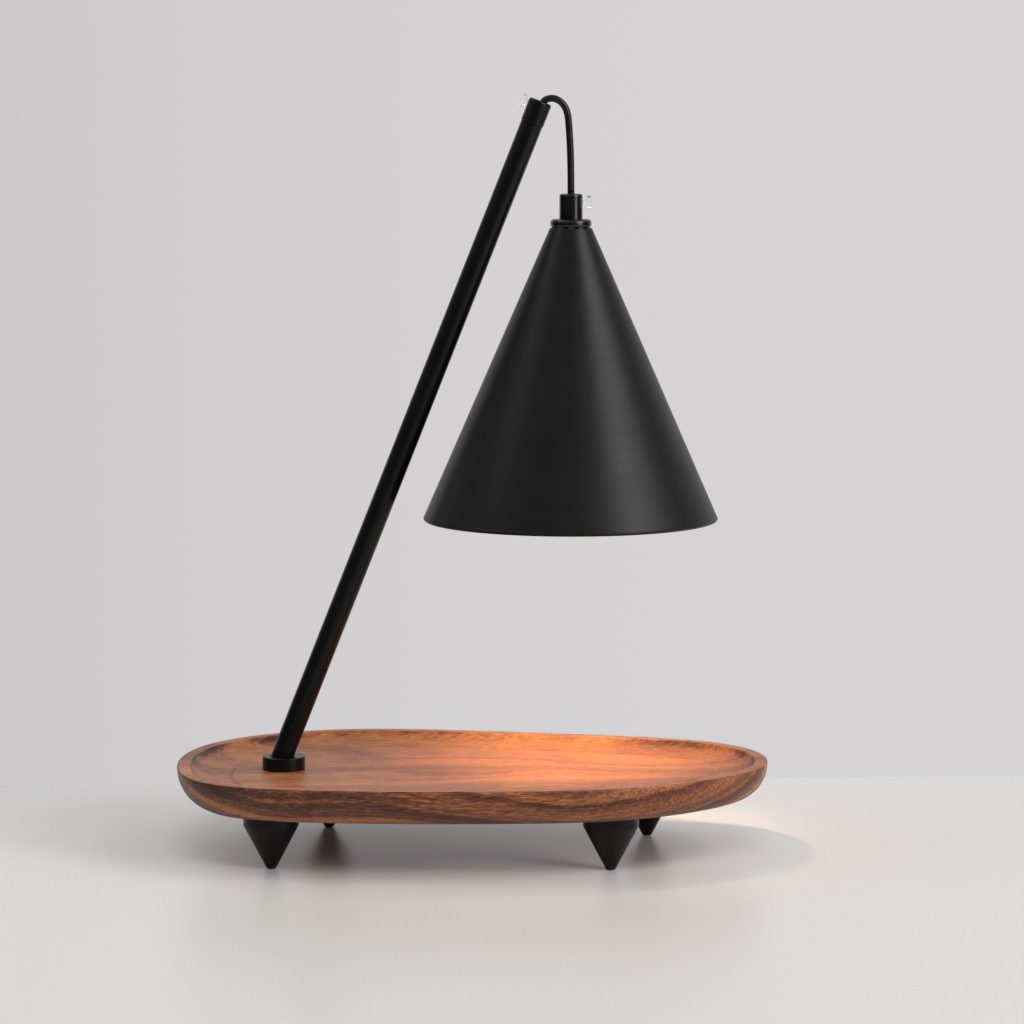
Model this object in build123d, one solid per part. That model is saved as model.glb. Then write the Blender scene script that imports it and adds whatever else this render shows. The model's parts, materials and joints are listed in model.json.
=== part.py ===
from build123d import *
from math import cos, pi, radians, sin, tan
import os

# Candle warmer lamp: a shallow carved tray on four cone feet, a slanted tube arm, and a cone
# shade with a halogen bulb that hangs on its flex from the arm's tip, over the place of a candle.
#
# X runs along the tray from the arm towards the candle, Y away from the front, Z up.
# The origin is on the surface that the feet stand on, below the middle of the tray.
# Lengths are in millimetres and angles in degrees.

# ---- carved tray ---------------------------------------------------------------------------
tray_length = 322.0
tray_depth = 205.0
tray_thickness = 20.5
wall_flare = 20.0  # how far the outer wall tucks in between the rim and the flat underside
rim_width = 7.3  # flat top of the rim
rim_edge_radius = 0.8
well_depth = 5.5
cove_width = 23.0  # width of the hollow slope between the rim and the well's floor
# The rim's outline, anticlockwise from its right end, as shares of half the length and depth.
rim_shares = [
    (1.00, 0.02), (0.85, 0.52), (0.50, 0.76), (0.00, 0.93), (-0.51, 0.97), (-0.89, 0.57),
    (-1.00, -0.21), (-0.89, -0.73), (-0.49, -0.97), (0.04, -1.00), (0.53, -0.89), (0.86, -0.53),
]
outline_steps = 36  # points that an inset outline is drawn through
wall_steps = 6  # steps that a curved wall is drawn in, from its top to its foot
edge_steps = 4  # steps that the rounding of a rim edge is drawn in

# ---- cone feet -----------------------------------------------------------------------------
foot_height = 30.0
foot_dia = 30.0
foot_band_height = 6.0  # straight band at the top of the cone
foot_tip_dia = 4.8  # the cone's width at the ground, before its edge is rounded
foot_tip_radius = 1.8
foot_band_radius = 1.5
foot_stud_dia = 6.0
foot_stud_in_foot = 13.0
foot_stud_in_tray = 9.5
# Centres of the feet, as shares of half the tray's length and depth.
foot_places = {
    "foot_front_left": (-0.67, -0.51),
    "foot_front_right": (0.46, -0.545),
    "foot_back_left": (-0.51, 0.66),
    "foot_back_right": (0.60, 0.42),
}

# ---- arm and what holds it -----------------------------------------------------------------
arm_tilt = 21.6  # from upright
arm_inset = 53.6  # from the tray's left end to where the arm's axis meets the well's floor
arm_tube_dia = 12.0
arm_tube_wall = 1.0
arm_tube_length = 378.5  # along the axis, from the well's floor to the ferrule
collar_dia = 23.3
collar_height = 7.3
collar_lead = 0.75  # the collar's centre lies this far right of the axis at its top
collar_edge_radius = 0.7
collar_hole_chamfer = 0.5
collar_clearance = 0.15
arm_stud_dia = 9.8
arm_stud_bore = 7.0
arm_stud_length = 13.8  # below the well's floor
arm_spigot = 18.0
stud_hole_clearance = 0.3
counterbore_dia = 26.0
counterbore_depth = 8.0
washer_dia = 22.0
washer_thickness = 1.5
stud_nut_flats = 17.0
stud_nut_height = 5.0
bush_flange_dia = 9.4
bush_flange = 0.9
bush_depth = 6.0

# ---- ferrule at the arm's tip --------------------------------------------------------------
ferrule_dia = 12.6
ferrule_length = 13.0
ferrule_bore = 6.4
ferrule_spigot = 10.0
ferrule_edge_radius = 1.3
ferrule_mouth_chamfer = 1.1
seam_chamfer = 0.25  # on both edges of the seam between the tube and the ferrule
tip_screw_drop = 2.9  # from the ferrule's end face down to the screw's axis

# ---- clear thumb screws --------------------------------------------------------------------
screw_dia = 3.0
screw_head_dia = 7.0
screw_head_thickness = 3.2
screw_head_radius = 1.2
tip_screw_neck = 0.9  # bare thread between the head and the ferrule
grip_screw_neck = 1.7  # bare thread between the head and the cord grip
screw_slot_width = 1.2
screw_slot_depth = 1.5

# ---- flex ----------------------------------------------------------------------------------
cord_dia = 3.8
hang_reach = 16.3  # from the ferrule's mouth sideways to the shade's axis
hang_drop = 49.8  # from the ferrule's mouth down to the cord grip
cord_in_grip = 6.4
sway_drop = 17.5  # from the mouth down to where the hanging flex bends as the shade sways
slide_drop = 20.0  # from the mouth down to where the flex lengthens as the shade is let down
# Points of the free flex, from inside the ferrule to inside the grip: sideways and up from the
# middle of the ferrule's end face.
cord_points = [
    (-0.25, -3.51), (1.0, -0.35), (3.9, 1.45), (8.0, 1.45), (12.3, -1.55), (14.5, -6.6),
    (15.2, -13.8), (15.9, -25.3), (16.3, -40.8), (hang_reach, -hang_drop - cord_in_grip),
]
bend_share = 0.45  # of the shorter run beside a point, taken up by the bend there
round_end_share = 0.95  # of the flex's radius, taken up by the rounding of its turning end

# ---- shade and cord grip -------------------------------------------------------------------
grip_dia = 12.5
grip_height = 13.6
grip_edge_radius = 1.2
grip_mouth_chamfer = 0.7
grip_socket_depth = 7.0
grip_screw_drop = 4.6
disc_dia = 22.2
disc_height = 4.7
disc_edge_radius = 1.9
shade_top_dia = 22.6
shade_rim_dia = 160.0
shade_height = 158.7
shade_wall = 1.0
shade_shoulder_radius = 0.8
shade_bead_dia = 2.4  # bead rolled inwards along the rim
nipple_dia = 10.0
nipple_bore = 7.0
nipple_tail = 0.8  # thread that shows below its nut
nipple_hole_clearance = 0.15
nipple_nut_flats = 14.0
nipple_nut_height = 3.5

# ---- lampholder ----------------------------------------------------------------------------
strap_width = 9.0
strap_thickness = 1.2
strap_bend_radius = 1.6
strap_half_span = 9.1  # to the outside of its legs
strap_eye_dia = 20.4  # round part of the web, around the nipple
strap_foot_end = 13.9
strap_drop = 11.9  # from the top of the strap to the holder
holder_dia = 28.0
holder_height = 22.0
holder_edge_radius = 1.2
holder_floor = 4.5  # plate that the bulb's pins hang on
chamber_dia = 17.0
chamber_height = 5.0
holder_screw_dia = 3.0
holder_screw_length = 8.0
holder_screw_head_dia = 4.6
holder_screw_head = 2.0
contact_width = 3.0
contact_length = 5.0
contact_height = 2.4
lead_dia = 1.6
lead_spread = 1.1  # from the axis, inside the nipple
lead_bend_drop = 1.5  # from the strap's foot up to where a lead turns into the holder
lead_hole_clearance = 0.3

# ---- halogen bulb --------------------------------------------------------------------------
bulb_dia = 50.0
bulb_length = 46.7  # from the holder to the front of the lens
bulb_base_top_dia = 22.0
bulb_base_bottom_dia = 19.0
bulb_base_height = 12.0
reflector_bulge = 0.62  # share of its width that the reflector has gained halfway down
bulb_wall = 1.2
bulb_rim = 2.6  # straight edge around the lens
bulb_lens_thickness = 1.5
bulb_turn = 25.0  # between locked and free
pin_place = 5.0  # from the axis
pin_dia = 2.6
pin_head_dia = 4.8
pin_head_height = 2.0
pin_in_base = 4.0
pin_slot_clearance = 0.4
capsule_dia = 9.0
capsule_wall = 0.9
capsule_length = 20.0
filament_dia = 0.9
filament_half_width = 1.9
filament_length = 13.0

# ---- shared clearances ---------------------------------------------------------------------
thread_clearance = 0.02  # radial, between pieces that are screwed or pressed together
turning_clearance = 0.05  # radial, around a screw that turns
cord_clearance = 0.3  # radial, around the flex where it goes into something
screw_tip_gap = 0.1  # between a screw's tip and the flex
free_gap = 0.3  # between pieces that move apart
hole_end_gap = 1.0  # left free at the bottom of a blind hole
cut_over = 1.0  # how far a cut runs past the face that it opens
same_place = 0.01  # lengths closer than this count as equal where an edge is looked up

# ---- heights and places that follow --------------------------------------------------------
underside_z = foot_height
rim_z = underside_z + tray_thickness
floor_z = rim_z - well_depth
half_length = tray_length / 2
half_depth = tray_depth / 2
tilt = radians(arm_tilt)
arm_x = arm_inset - half_length
collar_top_z = floor_z + collar_height
collar_x = arm_x + collar_height * tan(tilt) + collar_lead
stud_end_z = floor_z - arm_stud_length
inlet_z = stud_end_z - bush_flange
washer_top_z = underside_z + counterbore_depth
stud_nut_top_z = washer_top_z - washer_thickness
mouth_height = arm_tube_length + ferrule_length
mouth_x = arm_x + mouth_height * sin(tilt)
mouth_z = floor_z + mouth_height * cos(tilt)
shade_x = mouth_x + hang_reach
sway_z = mouth_z - sway_drop
slide_z = mouth_z - slide_drop
grip_top_z = mouth_z - hang_drop
grip_socket_z = grip_top_z - grip_height + grip_socket_depth
disc_top_z = grip_top_z - grip_height
shade_top_z = disc_top_z - disc_height
shade_rim_z = shade_top_z - shade_height
strap_top_z = shade_top_z - shade_wall
nut_top_z = strap_top_z - strap_thickness
nipple_top_z = grip_socket_z - free_gap
nipple_end_z = nut_top_z - nipple_nut_height - nipple_tail
holder_top_z = strap_top_z - strap_drop
holder_z = holder_top_z - holder_height
chamber_z = holder_z + holder_floor
chamber_top_z = chamber_z + chamber_height
holder_screw_x = (strap_half_span + strap_foot_end) / 2
pin_head_z = chamber_z + free_gap
bulb_top_z = holder_z - free_gap
bulb_neck_z = bulb_top_z - bulb_base_height
bulb_front_z = holder_z - bulb_length

# Along the arm: local Z is the tube's axis, and local X points to its lower right side.
arm = Plane(origin=(arm_x, 0, floor_z), x_dir=(cos(tilt), 0, -sin(tilt)), z_dir=(sin(tilt), 0, cos(tilt)))
shade_axis = Pos(shade_x, 0, 0)


# ---- shapes that several pieces use --------------------------------------------------------
def rod(dia, bottom, top):
    """Solid cylinder around Z."""
    return Pos(0, 0, bottom) * Cylinder(dia / 2, top - bottom, align=(Align.CENTER, Align.CENTER, Align.MIN))


def ring(outer_dia, inner_dia, bottom, top):
    """Cylinder around Z with a hole right through it."""
    return rod(outer_dia, bottom, top) - rod(inner_dia, bottom - cut_over, top + cut_over)


def turned(*edges):
    """Solid turned around Z from an outline of edges that lie in the X-Y plane, Y being its height."""
    return revolve(Plane.XZ * make_face(edges), Axis.Z)


def block(left, right, depth, bottom, top):
    """Box between two X places and two heights, centred on Y."""
    middle = ((left + right) / 2, 0, (bottom + top) / 2)
    return Pos(*middle) * Box(right - left, depth, top - bottom)


def hexagon_nut(flats, thread_dia, bottom, top):
    """Nut around Z, with flats to its left and right."""
    outline = Rot(0, 0, 30) * RegularPolygon(flats / 2, 6, major_radius=False)
    bore = rod(thread_dia + 2 * thread_clearance, bottom - cut_over, top + cut_over)
    return Pos(0, 0, bottom) * extrude(outline, top - bottom) - bore


def above(part, height):
    """What of the part lies above a level."""
    return split(part, bisect_by=Plane.XY.offset(height), keep=Keep.TOP)


def below(part, height):
    """What of the part lies below a level."""
    return split(part, bisect_by=Plane.XY.offset(height), keep=Keep.BOTTOM)


def rims(part, height, dia):
    """Circular edges of one diameter, around Z at a height."""
    circles = part.edges().filter_by(GeomType.CIRCLE)
    return circles.filter_by(lambda e: abs(e.arc_center.Z - height) + abs(2 * e.radius - dia) < same_place)


def thumb_screw(tip, seat, neck):
    """Slotted screw along Z, from its tip out to its head, which sits a neck off the seat."""
    head_start = seat + neck
    head_end = head_start + screw_head_thickness
    head = rod(screw_head_dia, head_start, head_end)
    head = fillet(head.edges().filter_by(GeomType.CIRCLE), screw_head_radius)
    slot_floor = head_end - screw_slot_depth
    slot = block(-screw_head_dia, screw_head_dia, screw_slot_width, slot_floor, head_end + cut_over)
    return rod(screw_dia, tip, head_start + neck) + head - slot


# ---- flex and wires ------------------------------------------------------------------------
def largest_bends(points):
    """Radius of the arc at each inner point, as wide as the shorter run beside it allows."""
    radii = []
    for before, here, after in zip(points, points[1:], points[2:]):
        run_in = here - before
        run_out = after - here
        half_turn = radians(run_in.get_angle(run_out) / 2)
        radii.append(bend_share * min(run_in.length, run_out.length) / tan(half_turn))
    return radii


def tube_along(dia, points):
    """Round tube along straight runs that are joined by tangent arcs."""
    path = FilletPolyline(*points, radius=largest_bends(points))
    tube = sweep(Plane(origin=path @ 0, z_dir=path % 0) * Circle(dia / 2), path=path)
    share = tube.volume / (pi * dia**2 / 4 * path.length)
    bends = ", ".join(f"{r:.1f}" for r in largest_bends(points))
    print(f"tube {dia} mm thick, {path.length:.1f} mm long, bends {bends}, volume share {share:.4f}")
    return tube


def flex_points():
    """Points of the free flex in the lamp's frame."""
    return [Vector(mouth_x + side, 0, mouth_z + up) for side, up in cord_points]


def flex_run_at(height):
    """Where the hanging flex is at a height, and which way it runs there."""
    points = flex_points()
    for start, end in zip(points, points[1:]):
        if start.Z > height >= end.Z:
            share = (start.Z - height) / (start.Z - end.Z)
            return start + (end - start) * share, (end - start).normalized()
    raise ValueError("the flex does not pass this height")


def cord_side_in_arm():
    """How far the flex lies beside the arm's axis, inside the arm."""
    side, up = cord_points[0]
    return side * cos(tilt) - up * sin(tilt)


def arm_cord():
    """Flex inside the arm, from the inlet below the tray up to the ferrule's mouth."""
    end = flex_points()[0]
    corner = Vector(arm_x, 0, end.Z - (end.X - arm_x) / tan(tilt))
    return tube_along(cord_dia, [Vector(arm_x, 0, inlet_z), corner, end])


def free_flex():
    return tube_along(cord_dia, flex_points())


def cord_arch():
    """Flex that bends over out of the ferrule and ends just above the sway point."""
    return above(free_flex(), sway_z + cord_dia / 2 + free_gap)


def cord_hang():
    """Short stretch of flex with a round end, which turns at the sway point."""
    sway_point, down = flex_run_at(sway_z)
    stub = rod(cord_dia, -2 * slide_drop + 2 * sway_drop - cord_dia, cord_dia / 2)
    stub = fillet(stub.edges().group_by(Axis.Z)[-1], round_end_share * cord_dia / 2)
    return above(Plane(origin=sway_point, z_dir=-down) * stub, slide_z)


def cord_drop():
    """Flex from there down into the cord grip."""
    return below(free_flex(), slide_z)


# ---- tray ----------------------------------------------------------------------------------
def rim_curve():
    """The rim's outer edge, a closed curve as long and deep as the tray, around the origin."""
    points = [(x * half_length, y * half_depth) for x, y in rim_shares]
    drawn = Spline(*points, periodic=True).bounding_box()
    middle = drawn.center()
    fitted = [
        ((x - middle.X) * tray_length / drawn.size.X, (y - middle.Y) * tray_depth / drawn.size.Y)
        for x, y in points
    ]
    return Spline(*fitted, periodic=True)


def outline(rim, inset, drop):
    """Level face inside the rim's outline, drawn in by the inset and lowered from the rim by the drop."""
    points = []
    for step in range(outline_steps):
        place = rim @ (step / outline_steps)
        heading = rim % (step / outline_steps)
        points.append((place.X - heading.Y * inset, place.Y + heading.X * inset, rim_z - drop))
    return make_face(Spline(*points, periodic=True))


def bowl(rim, inset, width, depth, turn_in):
    """Bowl down from the rim's level: a rounded edge, then a quarter ellipse for its wall.

    The rounding goes in from the inset for the board itself (turn_in is 1), and out from it for the
    hollow that is cut into the board (turn_in is -1).
    """
    edge = []
    for step in range(edge_steps + 1):
        angle = pi / 2 * step / edge_steps
        reach = turn_in * rim_edge_radius * (1 - sin(angle))
        edge.append(outline(rim, inset + reach, rim_edge_radius * (1 - cos(angle))))
    wall = []
    for step in range(wall_steps + 1):
        angle = pi / 2 * step / wall_steps
        drop = rim_edge_radius + (depth - rim_edge_radius) * sin(angle)
        wall.append(outline(rim, inset + width * (1 - cos(angle)), drop))
    return loft(edge) + loft(wall)


def foot_centres():
    return [(x * half_length, y * half_depth) for x, y in foot_places.values()]


def tray():
    """Carved board with a raised rim, bored for the arm's stud and the feet's."""
    rim = rim_curve()
    board = bowl(rim, 0, wall_flare, tray_thickness, 1)
    board -= bowl(rim, rim_width, cove_width, well_depth, -1)
    stud_hole = rod(arm_stud_dia + 2 * stud_hole_clearance, underside_z - cut_over, rim_z)
    counterbore = rod(counterbore_dia, underside_z - cut_over, washer_top_z)
    board -= Pos(arm_x, 0, 0) * (stud_hole + counterbore)
    hole_top_z = underside_z + foot_stud_in_tray + hole_end_gap
    for x, y in foot_centres():
        board -= Pos(x, y, 0) * rod(foot_stud_dia + 2 * thread_clearance, underside_z - cut_over, hole_top_z)
    return board


# ---- feet ----------------------------------------------------------------------------------
def foot():
    """Cone that stands on its blunt tip, bored from the top for its stud."""
    band_z = foot_height - foot_band_height
    cone = turned(
        Line((0, 0), (foot_tip_dia / 2, 0)),
        Line((foot_tip_dia / 2, 0), (foot_dia / 2, band_z)),
        Line((foot_dia / 2, band_z), (foot_dia / 2, foot_height)),
        Line((foot_dia / 2, foot_height), (0, foot_height)),
        Line((0, foot_height), (0, 0)),
    )
    cone = fillet(rims(cone, 0, foot_tip_dia), foot_tip_radius)
    cone = fillet(rims(cone, band_z, foot_dia), foot_band_radius)
    bore_end_z = foot_height - foot_stud_in_foot - hole_end_gap
    return cone - rod(foot_stud_dia + 2 * thread_clearance, bore_end_z, foot_height + cut_over)


def foot_studs():
    """Threaded dowels that join the feet to the tray."""
    stud = rod(foot_stud_dia, foot_height - foot_stud_in_foot, foot_height + foot_stud_in_tray)
    return [Pos(x, y, 0) * stud for x, y in foot_centres()]


# ---- arm -----------------------------------------------------------------------------------
def arm_collar():
    """Upright ring on the tray, bored at the arm's tilt."""
    bore_dia = arm_tube_dia + 2 * collar_clearance
    collar = Pos(collar_x, 0, 0) * rod(collar_dia, floor_z, collar_top_z)
    collar = fillet(rims(collar, collar_top_z, collar_dia), collar_edge_radius)
    collar -= arm * rod(bore_dia, -arm_tube_dia, 2 * arm_tube_dia)
    mouth_edges = collar.edges().filter_by(GeomType.ELLIPSE).group_by(Axis.Z)[-1]
    return chamfer(mouth_edges, collar_hole_chamfer)


def arm_tube():
    tube = ring(arm_tube_dia, arm_tube_dia - 2 * arm_tube_wall, -arm_tube_dia, arm_tube_length)
    tube = chamfer(rims(tube, arm_tube_length, arm_tube_dia), seam_chamfer)
    return above(arm * tube, floor_z)


def arm_stud():
    """Hollow angled stud: its spigot fills the tube's foot, its shank goes down through the tray."""
    spigot_dia = arm_tube_dia - 2 * arm_tube_wall - 2 * thread_clearance
    spigot = above(arm * rod(spigot_dia, -arm_tube_dia, arm_spigot), floor_z)
    shank = Pos(arm_x, 0, 0) * rod(arm_stud_dia, stud_end_z, floor_z)
    lower_bore = Pos(arm_x, 0, 0) * rod(arm_stud_bore, stud_end_z - cut_over, floor_z)
    upper_bore = arm * rod(arm_stud_bore, -arm_stud_bore / 2, arm_spigot + cut_over)
    return shank + spigot - lower_bore - upper_bore


def stud_washer():
    bore_dia = arm_stud_dia + 2 * stud_hole_clearance
    return Pos(arm_x, 0, 0) * ring(washer_dia, bore_dia, stud_nut_top_z, washer_top_z)


def stud_nut():
    return Pos(arm_x, 0, 0) * hexagon_nut(
        stud_nut_flats, arm_stud_dia, stud_nut_top_z - stud_nut_height, stud_nut_top_z
    )


def inlet_bush():
    """Flanged bush that keeps the stud's edge off the flex."""
    sleeve = rod(arm_stud_bore - 2 * thread_clearance, inlet_z, stud_end_z + bush_depth)
    flange = rod(bush_flange_dia, inlet_z, stud_end_z)
    bore = rod(cord_dia + 2 * cord_clearance, inlet_z - cut_over, stud_end_z + bush_depth + cut_over)
    return Pos(arm_x, 0, 0) * (sleeve + flange - bore)


def tip_ferrule():
    """End piece of the arm, with a flared mouth for the flex and a hole for its screw."""
    seat_dia = arm_tube_dia - 2 * arm_tube_wall - 2 * thread_clearance
    sleeve = rod(ferrule_dia, arm_tube_length, mouth_height)
    sleeve = fillet(rims(sleeve, mouth_height, ferrule_dia), ferrule_edge_radius)
    sleeve = chamfer(rims(sleeve, arm_tube_length, ferrule_dia), seam_chamfer)
    sleeve += rod(seat_dia, arm_tube_length - ferrule_spigot, arm_tube_length)
    sleeve -= rod(ferrule_bore, arm_tube_length - ferrule_spigot - cut_over, mouth_height + cut_over)
    sleeve = chamfer(rims(sleeve, mouth_height, ferrule_bore), ferrule_mouth_chamfer)
    return arm * sleeve - screw_at_tip() * rod(screw_dia + 2 * turning_clearance, 0, ferrule_dia)


def screw_at_tip():
    """Place of the ferrule's screw, which points up and left, away from the hanging flex."""
    return arm * Pos(0, 0, mouth_height - tip_screw_drop) * Rot(0, -90, 0)


def tip_thumb_screw():
    tip = cord_dia / 2 - cord_side_in_arm() + screw_tip_gap
    return screw_at_tip() * thumb_screw(tip, ferrule_dia / 2, tip_screw_neck)


# ---- shade ---------------------------------------------------------------------------------
def screw_at_grip():
    """Place of the grip's screw, which points right."""
    return Pos(shade_x, 0, grip_top_z - grip_screw_drop) * Rot(0, 90, 0)


def cord_grip():
    """Sleeve that the screw clamps on the flex, with a socket below for the threaded nipple."""
    sleeve = rod(grip_dia, disc_top_z, grip_top_z)
    sleeve = fillet(rims(sleeve, grip_top_z, grip_dia), grip_edge_radius)
    cord_bore_dia = cord_dia + 2 * cord_clearance
    sleeve -= rod(cord_bore_dia, disc_top_z - cut_over, grip_top_z + cut_over)
    sleeve = chamfer(rims(sleeve, grip_top_z, cord_bore_dia), grip_mouth_chamfer)
    sleeve -= rod(nipple_dia + 2 * thread_clearance, disc_top_z - cut_over, grip_socket_z)
    return shade_axis * sleeve - screw_at_grip() * rod(screw_dia + 2 * turning_clearance, 0, grip_dia)


def grip_thumb_screw():
    return screw_at_grip() * thumb_screw(cord_dia / 2 + screw_tip_gap, grip_dia / 2, grip_screw_neck)


def shade_disc():
    """Washer with a full round edge between the grip and the shade."""
    disc = rod(disc_dia, shade_top_z, disc_top_z)
    disc = fillet(disc.edges().filter_by(GeomType.CIRCLE), disc_edge_radius)
    bore = rod(nipple_dia + 2 * nipple_hole_clearance, shade_top_z - cut_over, disc_top_z + cut_over)
    return shade_axis * (disc - bore)


def grip_nipple():
    """Threaded tube that ties the grip, the disc, the shade and the strap together."""
    return shade_axis * ring(nipple_dia, nipple_bore, nipple_end_z, nipple_top_z)


def nipple_nut():
    return shade_axis * hexagon_nut(nipple_nut_flats, nipple_dia, nut_top_z - nipple_nut_height, nut_top_z)


def shade_cone():
    """Spun cone with a flat top, a hole in it, and a bead rolled inwards along its rim."""
    bead_z = shade_rim_z + shade_bead_dia / 2
    slope = (shade_rim_dia - shade_top_dia) / 2 / (shade_top_z - bead_z)
    side_wall = shade_wall * (1 + slope**2) ** 0.5  # the wall's width, measured level
    top_r = shade_top_dia / 2
    rim_r = shade_rim_dia / 2
    under_top_r = top_r + shade_wall * slope - side_wall
    cone = turned(
        Line((0, shade_top_z), (top_r, shade_top_z)),
        Line((top_r, shade_top_z), (rim_r, bead_z)),
        Line((rim_r, bead_z), (rim_r - side_wall, bead_z)),
        Line((rim_r - side_wall, bead_z), (under_top_r, strap_top_z)),
        Line((under_top_r, strap_top_z), (0, strap_top_z)),
        Line((0, strap_top_z), (0, shade_top_z)),
    )
    cone = fillet(rims(cone, shade_top_z, shade_top_dia), shade_shoulder_radius)
    cone += Pos(0, 0, bead_z) * Torus(rim_r - shade_bead_dia / 2, shade_bead_dia / 2)
    bore = rod(nipple_dia + 2 * nipple_hole_clearance, strap_top_z - cut_over, shade_top_z + cut_over)
    return shade_axis * (cone - bore)


# ---- lampholder ----------------------------------------------------------------------------
def holder_bracket():
    """Strap bent to a hat: its web hangs on the nipple, its two feet carry the holder."""
    foot_top_z = holder_top_z + strap_thickness
    leg_inside = strap_half_span - strap_thickness
    web = block(-strap_half_span, strap_half_span, strap_eye_dia, nut_top_z, strap_top_z)
    strap = web & rod(strap_eye_dia, nut_top_z, strap_top_z)
    strap += block(-strap_half_span, strap_half_span, strap_width, nut_top_z, strap_top_z)
    strap -= rod(nipple_dia + 2 * nipple_hole_clearance, nut_top_z - cut_over, strap_top_z + cut_over)
    for side in (1, -1):
        leg = block(leg_inside, strap_half_span, strap_width, holder_top_z, strap_top_z)
        toe = block(leg_inside, strap_foot_end, strap_width, holder_top_z, foot_top_z)
        toe -= Pos(holder_screw_x, 0, 0) * rod(
            holder_screw_dia + 2 * thread_clearance, holder_top_z - cut_over, foot_top_z + cut_over
        )
        strap += Rot(0, 0, 90 - 90 * side) * (leg + toe)
    outer_bends = strap.edges().filter_by(Axis.Y).group_by(Axis.Z)[-1].filter_by(
        lambda e: abs(e.center().X) > leg_inside
    )
    return shade_axis * fillet(outer_bends, strap_bend_radius)


def pin_slot():
    """Curved slot for one pin, from where it is locked to the hole that lets its head through."""
    reach = pin_dia / 2 + pin_slot_clearance
    sweep_face = Pos(pin_place, 0, 0) * Rot(90, 0, 0) * Rectangle(2 * reach, 2 * holder_floor)
    slot = revolve(Pos(0, 0, holder_z) * sweep_face, Axis.Z, bulb_turn)
    ends = {0: pin_dia, bulb_turn: pin_head_dia}
    for angle, dia in ends.items():
        hole = rod(dia + 2 * pin_slot_clearance, holder_z - holder_floor, chamber_z + cut_over)
        slot += Rot(0, 0, angle) * Pos(pin_place, 0, 0) * hole
    return slot


def lampholder():
    """Ceramic holder: a plate with two curved slots, and a chamber above it for the pins' heads."""
    body = rod(holder_dia, holder_z, holder_top_z)
    body = fillet(body.edges().filter_by(GeomType.CIRCLE), holder_edge_radius)
    body -= rod(chamber_dia, chamber_z, chamber_top_z)
    lead_hole = rod(lead_dia + 2 * lead_hole_clearance, chamber_z, holder_top_z + cut_over)
    screw_hole_z = holder_top_z - holder_screw_length - hole_end_gap
    screw_hole = rod(holder_screw_dia + 2 * thread_clearance, screw_hole_z, holder_top_z + cut_over)
    for turn in (0, 180):
        body -= Rot(0, 0, turn) * Pos(holder_screw_x, 0, 0) * screw_hole
        body -= Rot(0, 0, turn + 90) * Pos(pin_place, 0, 0) * lead_hole
        body -= Rot(0, 0, turn + 90) * pin_slot()
    return shade_axis * body


def holder_screws():
    """Screws that hold the holder on the strap's feet."""
    foot_top_z = holder_top_z + strap_thickness
    head = rod(holder_screw_head_dia, foot_top_z, foot_top_z + holder_screw_head)
    head = fillet(head.edges().group_by(Axis.Z)[-1], holder_screw_head / 3)
    screw = rod(holder_screw_dia, holder_top_z - holder_screw_length, foot_top_z) + head
    return [Pos(shade_x + side * holder_screw_x, 0, 0) * screw for side in (1, -1)]


def holder_contacts():
    """Spring contacts above the bulb's pins."""
    contact = block(
        pin_place - contact_length / 2, pin_place + contact_length / 2, contact_width,
        chamber_top_z - contact_height, chamber_top_z,
    )
    return [shade_axis * Rot(0, 0, turn) * contact for turn in (90, 270)]


def holder_leads():
    """Two wires from the flex through the nipple to the contacts."""
    turn_in_z = holder_top_z + lead_bend_drop
    turn_out_z = nipple_end_z
    leads = []
    for side in (1, -1):
        points = [
            Vector(shade_x, side * lead_spread, nipple_top_z),
            Vector(shade_x, side * lead_spread, turn_out_z),
            Vector(shade_x, side * pin_place, turn_in_z),
            Vector(shade_x, side * pin_place, chamber_top_z),
        ]
        leads.append(tube_along(lead_dia, points))
    return leads


# ---- bulb ----------------------------------------------------------------------------------
def bulb_base():
    """Ceramic foot of the bulb, which the pins stand in."""
    base = turned(
        Line((0, bulb_neck_z), (bulb_base_bottom_dia / 2, bulb_neck_z)),
        Line((bulb_base_bottom_dia / 2, bulb_neck_z), (bulb_base_top_dia / 2, bulb_top_z)),
        Line((bulb_base_top_dia / 2, bulb_top_z), (0, bulb_top_z)),
        Line((0, bulb_top_z), (0, bulb_neck_z)),
    )
    hole = rod(pin_dia + 2 * thread_clearance, bulb_top_z - pin_in_base, bulb_top_z + cut_over)
    for turn in (90, 270):
        base -= Rot(0, 0, turn) * Pos(pin_place, 0, 0) * hole
    return shade_axis * base


def bulb_pins():
    """Headed pins that hang in the holder's slots."""
    pin = rod(pin_dia, bulb_top_z - pin_in_base, pin_head_z)
    pin += rod(pin_head_dia, pin_head_z, pin_head_z + pin_head_height)
    return [shade_axis * Rot(0, 0, turn) * Pos(pin_place, 0, 0) * pin for turn in (90, 270)]


def flared(neck_dia, front_dia, top_z, bottom_z):
    """Solid that swells from its neck to a straight edge at its front."""
    neck_r = neck_dia / 2
    front_r = front_dia / 2
    edge_z = bulb_front_z + bulb_rim
    middle = (neck_r + reflector_bulge * (front_r - neck_r), (bulb_neck_z + edge_z) / 2)
    return turned(
        Line((0, top_z), (neck_r, top_z)),
        Line((neck_r, top_z), (neck_r, bulb_neck_z - bulb_wall)),
        ThreePointArc((neck_r, bulb_neck_z - bulb_wall), middle, (front_r, edge_z)),
        Line((front_r, edge_z), (front_r, bottom_z)),
        Line((front_r, bottom_z), (0, bottom_z)),
        Line((0, bottom_z), (0, top_z)),
    )


def bulb_reflector():
    """Flared glass shell, open at its front for the lens and at its neck for the capsule."""
    outside = flared(bulb_base_bottom_dia, bulb_dia, bulb_neck_z, bulb_front_z)
    inside = flared(
        bulb_base_bottom_dia - 2 * bulb_wall, bulb_dia - 2 * bulb_wall,
        bulb_neck_z + cut_over, bulb_front_z - cut_over,
    )
    return shade_axis * (outside - inside)


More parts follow.
